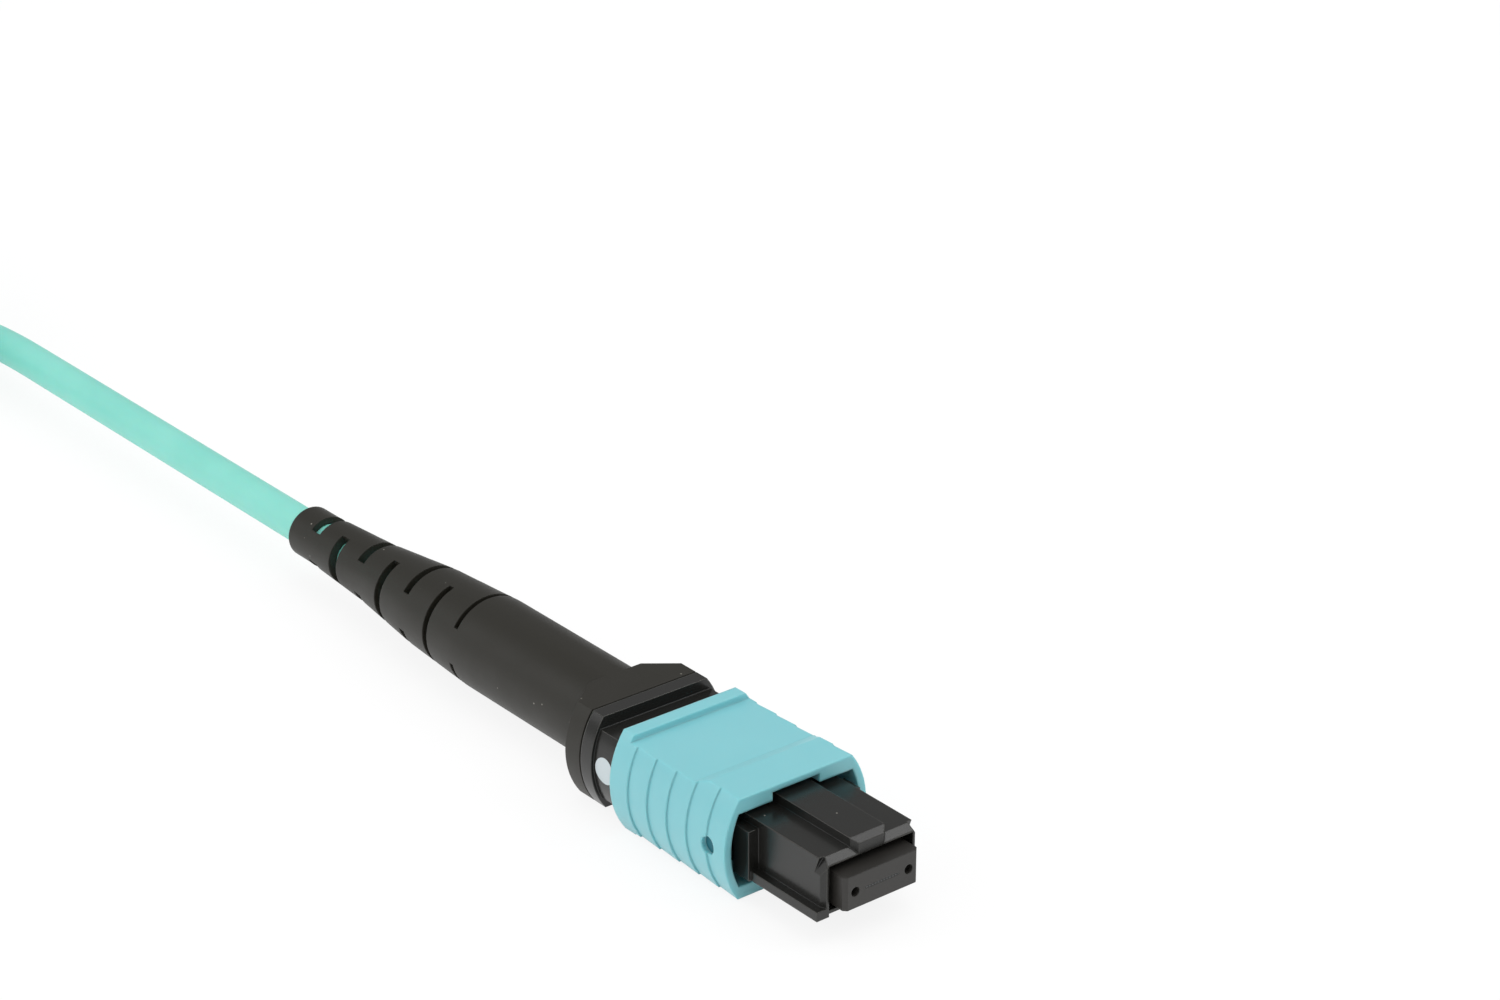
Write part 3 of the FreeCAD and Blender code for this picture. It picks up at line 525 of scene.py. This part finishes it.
@dataclass
class Camera:
    """Camera at the viewing place, in metres and degrees."""

    place: tuple[float, float, float] = (0.15701, -0.13740, 0.12393)
    azimuth: float = 51.201
    elevation: float = 24.841
    roll: float = -0.115
    lens_mm: float = 88.19
    sensor_mm: float = 36.0
    shift: tuple[float, float] = (0.0008, 0.001)
    clip: tuple[float, float] = (0.01, 10.0)

    def build(self) -> None:
        """Make the camera and set it as the scene's."""
        data = bpy.data.cameras.new("camera")
        data.lens, data.sensor_width = self.lens_mm, self.sensor_mm
        data.shift_x, data.shift_y = self.shift
        data.clip_start, data.clip_end = self.clip
        camera = bpy.data.objects.new("camera", data)
        azimuth, elevation = math.radians(self.azimuth), math.radians(self.elevation)
        back = Vector((math.sin(azimuth) * math.cos(elevation), -math.cos(azimuth) * math.cos(elevation),
                       math.sin(elevation)))
        turn = (-back).to_track_quat("-Z", "Y").to_matrix().to_4x4()
        roll = Matrix.Rotation(math.radians(self.roll), 4, "Z")
        camera.matrix_world = Matrix.Translation(self.place) @ turn @ roll
        bpy.context.scene.collection.objects.link(camera)
        bpy.context.scene.camera = camera
        LOG.info("camera at %s", self.place)


@dataclass(frozen=True)
class SoftBox:
    """Square softbox. Its level is the light at its target, where 1 shows a colour as it is written."""

    name: str
    place: tuple[float, float, float]
    size: float
    level: float

    def build(self, target: tuple[float, float, float]) -> None:
        """Hang the lamp and turn it to a target."""
        data = bpy.data.lights.new(self.name, "AREA")
        data.shape, data.size = "SQUARE", self.size
        away = Vector(self.place) - Vector(target)
        data.energy = self.level * math.pi ** 2 * away.length_squared
        lamp = bpy.data.objects.new(self.name, data)
        lamp.matrix_world = Matrix.Translation(self.place) @ away.to_track_quat("Z", "Y").to_matrix().to_4x4()
        bpy.context.scene.collection.objects.link(lamp)


@dataclass
class Studio:
    """Pale floor, even surround and large soft lamps."""

    floor_size: float = 6.0
    surround: float = 0.66
    gloss_surround: float = 0.36
    target: tuple[float, float, float] = (-0.03, 0.0, 0.0)
    lamps: tuple[SoftBox, ...] = (
        SoftBox("lamp_over", (0.05, 0.05, 0.55), size=0.5, level=0.32),
        SoftBox("lamp_left", (-0.35, -0.45, 0.35), size=0.35, level=0.17),
        SoftBox("lamp_side", (0.12, -0.56, 0.32), size=0.35, level=0.11),
        SoftBox("lamp_front", (0.25, 0.34, 0.42), size=0.22, level=0.14))

    def build(self) -> None:
        """Make the floor, the world and the lamps."""
        self.floor()
        self.world()
        for lamp in self.lamps:
            lamp.build(self.target)
        bpy.context.scene.view_settings.view_transform = "Standard"

    def floor(self) -> None:
        """Flat floor under the sleeve."""
        mesh = bmesh.new()
        bmesh.ops.create_grid(mesh, x_segments=1, y_segments=1, size=self.floor_size / 2)
        bmesh.ops.translate(mesh, verts=mesh.verts, vec=(0, 0, CAD_BOX[0].z))
        data = bpy.data.meshes.new("floor")
        mesh.to_mesh(data)
        mesh.free()
        floor = bpy.data.objects.new("floor", data)
        bpy.context.scene.collection.objects.link(floor)
        FLOOR.dress(floor)

    def world(self) -> None:
        """White for the camera, a little lower as light, and dim for reflections, as a dark room is."""
        world = bpy.data.worlds.new("surround")
        world.use_nodes = True
        tree = world.node_tree
        tree.nodes.clear()
        rays = add(tree, "ShaderNodeLightPath")
        clear = add(tree, "ShaderNodeMath", {"operation": "MAXIMUM"},
                    {0: rays.outputs["Is Camera Ray"], 1: rays.outputs["Is Transmission Ray"]})
        gloss = spread(tree, self.surround, self.gloss_surround, rays.outputs["Is Glossy Ray"])
        level = add(tree, "ShaderNodeMapRange", {"To Max": 1.0},
                    {"Value": clear.outputs[0], "To Min": gloss.outputs[0]})
        sky = add(tree, "ShaderNodeBackground", {"Color": WHITE}, {"Strength": level.outputs[0]})
        add(tree, "ShaderNodeOutputWorld", links={"Surface": sky.outputs[0]})
        bpy.context.scene.world = world


class Track(Enum):
    """Places of the cable in the hank's section: radius of its round ends and height, in mm."""

    OUTER_LOW = (13.5, -1.9)
    INNER_LOW = (10.5, -1.9)
    INNER_MID = (10.5, 1.1)
    INNER_TOP = (10.5, 4.1)
    OUTER_TOP = (13.5, 4.1)
    OUTER_MID = (13.5, 1.1)


@dataclass
class JumperCable:
    """The cable from the crimp, through the tied hank, to the far connector, in mm."""

    diameter: float = 3.0
    exit_x: float = -69.5
    length: float = 857.0
    near_x: float = -134.0
    far_x: float = -169.0
    axis_y: float = -13.5
    end_steps: int = 9
    crossing: float = 12.0
    crossing_step: float = 3.0
    crimp_x: float = -39.6
    straight_x: tuple[float, ...] = (-107.9, -120.5)
    far_bend_x: float = -190.0
    far_straight_x: tuple[float, ...] = (-203.0, -212.0)
    far_crimp_x: float = -238.9
    far_y: float = -1.2
    reach_in: float = 1.0

    def hank(self) -> list[tuple[float, float, float]]:
        """Points of the hank's turns: far end on one track, near end on the next."""
        points = []
        tracks = list(Track)
        half = self.crossing / 2
        step = math.pi / self.end_steps
        for turn, (here, there) in enumerate(zip(tracks, tracks[1:])):
            for x, track, start in ((self.far_x, here, math.pi / 2), (self.near_x, there, -math.pi / 2)):
                radius, height = track.value
                # The curve runs inside its points, so they lie on a wider circle than the cable.
                wide = radius / (0.75 + 0.25 * math.cos(step))
                for i in range(self.end_steps + 1):
                    angle = start + step * i
                    points.append((x + wide * math.cos(angle), self.axis_y + wide * math.sin(angle), height))
                if x == self.far_x:
                    middle = (self.near_x + self.far_x) / 2 + self.crossing_step * (2 - turn)
                    points.append((middle - half, self.axis_y - here.value[0], here.value[1]))
                    points.append((middle + half, self.axis_y - there.value[0], there.value[1]))
        return points

    def build(self) -> bpy.types.Object:
        """Make the cable as one spline, from where one crimp holds it to the other."""
        lead = [(x, 0, 0) for x in (self.crimp_x, *self.straight_x)]
        lead.append((self.near_x + self.reach_in, 0, Track.OUTER_LOW.value[1]))
        tail = [(self.far_x - self.reach_in, 0, Track.OUTER_MID.value[1])]
        tail.append((self.far_bend_x, self.far_y / 2, 0))
        tail += [(x, self.far_y, 0) for x in (*self.far_straight_x, self.far_crimp_x)]
        route = lead + self.hank() + tail
        data = bpy.data.curves.new("cable", "CURVE")
        data.dimensions = "3D"
        data.bevel_depth = self.diameter / 2 * MM
        data.bevel_resolution = 8
        data.resolution_u = 8
        data.use_fill_caps = True
        spline = data.splines.new("NURBS")
        spline.points.add(len(route) - 1)
        for point, (x, y, z) in zip(spline.points, route):
            point.co = (x * MM, y * MM, z * MM, 1)
        spline.order_u = 3
        spline.use_endpoint_u = True
        spline.use_smooth = True
        cable = bpy.data.objects.new("cable", data)
        bpy.context.scene.collection.objects.link(cable)
        JACKET.dress(cable)
        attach(cable, Body.PLUG.value)
        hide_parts("cable_lead", "cable_hank", "cable_tail")
        return cable


@dataclass
class MarkingDot:
    """White paint dot on the housing's side, for the first fibre, in mm."""

    radius: float = 1.0
    paint: float = 0.02
    x: float = -23.1
    height: float = 0.1
    half_width: float = 5.5
    flat_half_height: float = 2.7
    bulge: float = 0.65
    ring: float = 0.2
    rings: int = 4

    def build(self) -> None:
        """Make a flat disc of rings, and bend it onto the bulging side."""
        mesh = bmesh.new()
        bmesh.ops.create_circle(mesh, cap_ends=True, cap_tris=False, segments=48, radius=self.radius * MM)
        for _ in range(self.rings):
            bmesh.ops.inset_individual(mesh, faces=[max(mesh.faces, key=lambda face: len(face.verts))],
                                       thickness=self.ring * MM, depth=0.0)
        bmesh.ops.rotate(mesh, verts=mesh.verts, matrix=Matrix.Rotation(math.pi / 2, 3, "X"))
        side, fall = -(self.half_width + self.paint) * MM, self.bulge * MM / (self.flat_half_height * MM) ** 2
        for vert in mesh.verts:
            vert.co += Vector((self.x * MM, side, self.height * MM))
            vert.co.y += fall * vert.co.z ** 2
        new_piece("marking_dot", mesh, Body.PLUG, MARKING_PAINT)


@dataclass
class SideRecessShade:
    """Painted shade on the floors of the two deep round recesses in the coupling sleeve's sides: thin dark
    discs, in mm.
    """

    radius: float = 0.64
    x: float = -10.75
    floor_y: float = 5.74
    skin: float = 0.03
    taper: float = 0.1
    clear: float = 0.01

    def build(self) -> None:
        """Lay a thin tapered dark disc on each recess's floor, as painted shade."""
        for name, side in (("recess_painted_shade_left", 1), ("recess_painted_shade_right", -1)):
            mesh = bmesh.new()
            bmesh.ops.create_cone(mesh, cap_ends=True, cap_tris=False, segments=32, radius1=self.radius * MM,
                                  radius2=(self.radius - self.taper) * MM, depth=self.skin * MM)
            bmesh.ops.rotate(mesh, verts=mesh.verts, matrix=Matrix.Rotation(-side * math.pi / 2, 3, "X"))
            bmesh.ops.translate(mesh, verts=mesh.verts,
                                vec=(self.x * MM, side * (self.floor_y + self.skin / 2 + self.clear) * MM, 0))
            # dark disc on the recess floor: painted shade
            new_piece(name, mesh, Body.SLEEVE, RECESS_PAINTED_SHADE, smooth=False)


def along_knots(x: float, knots: tuple[tuple[float, float], ...]) -> float:
    """Value at x on straight lines between knots, and level beyond the first and the last.

    Args:
        x: Place.
        knots: Places and values, in rising order of place.

    Returns:
        The value at x.
    """
    for (x0, v0), (x1, v1) in zip(knots, knots[1:]):
        if x < x1:
            return v0 + (v1 - v0) * max(x - x0, 0.0) / (x1 - x0)
    return knots[-1][1]


@dataclass
class SlottedBoot:
    """Strain-relief boot whose slots stand wider apart towards the flange, in mm."""

    bore: float = 1.7
    shift: tuple[tuple[float, float], ...] = ((-69.5, 0.0), (-66.0, 0.1), (-59.0, 0.25), (-45.0, 1.1),
                                              (-38.0, 0.0))
    profile: tuple[tuple[float, float], ...] = ((-67.0, 2.08), (-59.33, 2.48), (-51.67, 3.28), (-44.0, 3.68))

    def build(self) -> bpy.types.Object:
        """Move the slots along the boot and keep its outer profile where it is."""
        mesh = welded(node("boot"))
        for vert in mesh.verts:
            here = vert.co.x / MM
            there = here + along_knots(here, self.shift)
            vert.co.x = there * MM
            if vert.co.yz.length > self.bore * MM:
                swell = along_knots(there, self.profile) / along_knots(here, self.profile)
                vert.co.y *= swell
                vert.co.z *= swell
        boot = new_piece("boot_slotted", mesh, Body.PLUG, BOOT_RUBBER)
        sharpen(boot, degrees=25)
        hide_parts("boot")
        return boot


@dataclass
class FarConnector:
    """The same connector at the cable's other end, with the ribs and slots of the first."""

    def build(self, boot: bpy.types.Object) -> list[bpy.types.Object]:
        """Copy the ribbed sleeve and the slotted boot, turned half round, to the far end.

        Args:
            boot: The first connector's boot.

        Returns:
            Every piece of the far connector.
        """
        pieces = [node("far_ferrule"), node("far_inner_housing")]
        near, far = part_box("coupling_sleeve"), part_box("far_coupling_sleeve")
        shift = Vector((far[0][0] + near[1][0], far[0][1] + near[1][1], 0))
        place = Matrix.Translation(shift) @ Matrix.Rotation(math.pi, 4, "Z")
        for source, target, finish, slot in (
                (node("coupling_sleeve"), "far_coupling_sleeve", AQUA_SLEEVE, "aqua_moulding"),
                (boot, "far_boot", BOOT_RUBBER, "boot_rubber")):
            mesh = welded(source)
            bmesh.ops.transform(mesh, matrix=place, verts=mesh.verts)
            piece = new_piece(target + "_detailed", mesh, Body.PLUG, finish)
            sharpen(piece, degrees=25)
            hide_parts(target)
            pieces.append(piece)
        return pieces


@dataclass
class HookLoopTie:
    """Black hook-and-loop strap round the hank, closed by its overlapping end, in mm."""

    name: str
    outward: int
    thick: float = 0.5
    corner: float = 2.0
    end_height: float = 6.4
    end_narrower: float = 0.3
    end_corner: float = 1.0
    end_lift: float = 0.52

    def build(self) -> bpy.types.Object:
        """Make the band from a bevelled block's sides, and lay its loose end over the outer face."""
        low, high = (Vector(corner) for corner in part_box(self.name))
        size = high - low
        mesh = bmesh.new()
        bmesh.ops.create_cube(mesh, size=1.0)
        bmesh.ops.scale(mesh, verts=mesh.verts, vec=size - Vector((0, self.thick * MM, self.thick * MM)))
        bmesh.ops.delete(mesh, geom=[face for face in mesh.faces if abs(face.normal.x) > 0.5],
                         context="FACES_ONLY")
        along = [edge for edge in mesh.edges if abs(edge.verts[0].co.x - edge.verts[1].co.x) > size.x / 2]
        bmesh.ops.bevel(mesh, geom=along, offset=(self.corner - self.thick / 2) * MM, segments=6, profile=0.5,
                        affect="EDGES", material=-1)
        thicken(mesh, self.thick * MM)
        bmesh.ops.translate(mesh, verts=mesh.verts, vec=(low + high) / 2)
        end = bmesh.ops.create_cube(mesh, size=1.0)["verts"]
        bmesh.ops.scale(mesh, verts=end,
                        vec=(size.x - self.end_narrower * MM, self.thick * MM, self.end_height * MM))
        side = high.y if self.outward > 0 else low.y
        bmesh.ops.translate(mesh, verts=end,
                            vec=((low.x + high.x) / 2, side + self.outward * self.end_lift * self.thick * MM,
                                 high.z - self.corner * MM - self.end_height / 2 * MM))
        loose = set(end)
        corners = [edge for edge in mesh.edges if edge.verts[0] in loose
                   and abs(edge.verts[0].co.y - edge.verts[1].co.y) > self.thick / 2 * MM]
        bmesh.ops.bevel(mesh, geom=corners, offset=self.end_corner * MM, segments=4, profile=0.5,
                        affect="EDGES", material=-1)
        tie = new_piece(self.name + "_strap", mesh, Body.PLUG, TIE_FABRIC)
        sharpen(tie, degrees=40)
        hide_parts(self.name)
        return tie


@dataclass
class YieldingPiece:
    """Spring or fibre bundle whose front end a joint pushes back, so that it shortens."""

    source: str
    kind: str
    joint: Joint
    finish: Finish
    slot: str

    def build(self) -> None:
        """Take the node's shape as a piece with a mesh of its own."""
        piece = new_piece(f"{self.source}_{self.kind}", welded(node(self.source)), Body.PLUG, self.finish)
        sharpen(piece, degrees=50)
        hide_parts(self.source)
        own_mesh(piece)


@dataclass
class Connector:
    """Finishes of the connector's own solids."""

    def dress(self) -> None:
        """Give each CAD node its finish."""
        for finish, names in (
                (BLACK_HOUSING, ["inner_housing", "far_inner_housing"]),
                (AQUA_SLEEVE, ["coupling_sleeve", "far_coupling_sleeve"]),
                (FERRULE_PPS, ["ferrule", "far_ferrule"]),
                (BOOT_RUBBER, ["boot", "far_boot"]),
                (CARRIER_PLASTIC, ["spring_push"]),
                (CLAMP_PLASTIC, ["pin_clamp"]),
                (SOFT_SLEEVE, ["ferrule_boot"]),
                (FIBRES, ["fibre_ribbon"]),
                (SPRING_STEEL, ["ferrule_spring", "sleeve_spring_left", "sleeve_spring_right"]),
                (CRIMP_METAL, ["crimp_ring"]),
                (ARAMID, ["aramid_yarn"]),
                (TIE_FABRIC, ["hank_tie_left", "hank_tie_right"]),
                (JACKET, ["cable_lead", "cable_hank", "cable_tail"])):
            finish.dress(*(node(name) for name in names))


def main() -> None:
    """Build the scene: camera and cable first, then the connector and the studio."""
    logging.basicConfig(level=logging.INFO, format="%(name)s: %(message)s")
    Camera().build()
    jumper = JumperCable()
    cable = jumper.build()
    Connector().dress()
    MarkingDot().build()
    SideRecessShade().build()
    YieldingPiece("fibre_ribbon", "bowing", Joint.FERRULE_FLOAT, FIBRES, "fibre").build()
    YieldingPiece("ferrule_spring", "coil", Joint.FERRULE_FLOAT, SPRING_STEEL, "spring_steel").build()
    YieldingPiece("sleeve_spring_left", "coil", Joint.SLEEVE_SLIDE, SPRING_STEEL, "spring_steel").build()
    YieldingPiece("sleeve_spring_right", "coil", Joint.SLEEVE_SLIDE, SPRING_STEEL, "spring_steel").build()
    far_pieces = FarConnector().build(SlottedBoot().build())
    ties = [HookLoopTie("hank_tie_left", 1).build(), HookLoopTie("hank_tie_right", -1).build()]
    Studio().build()


if __name__ == "__main__":
    main()
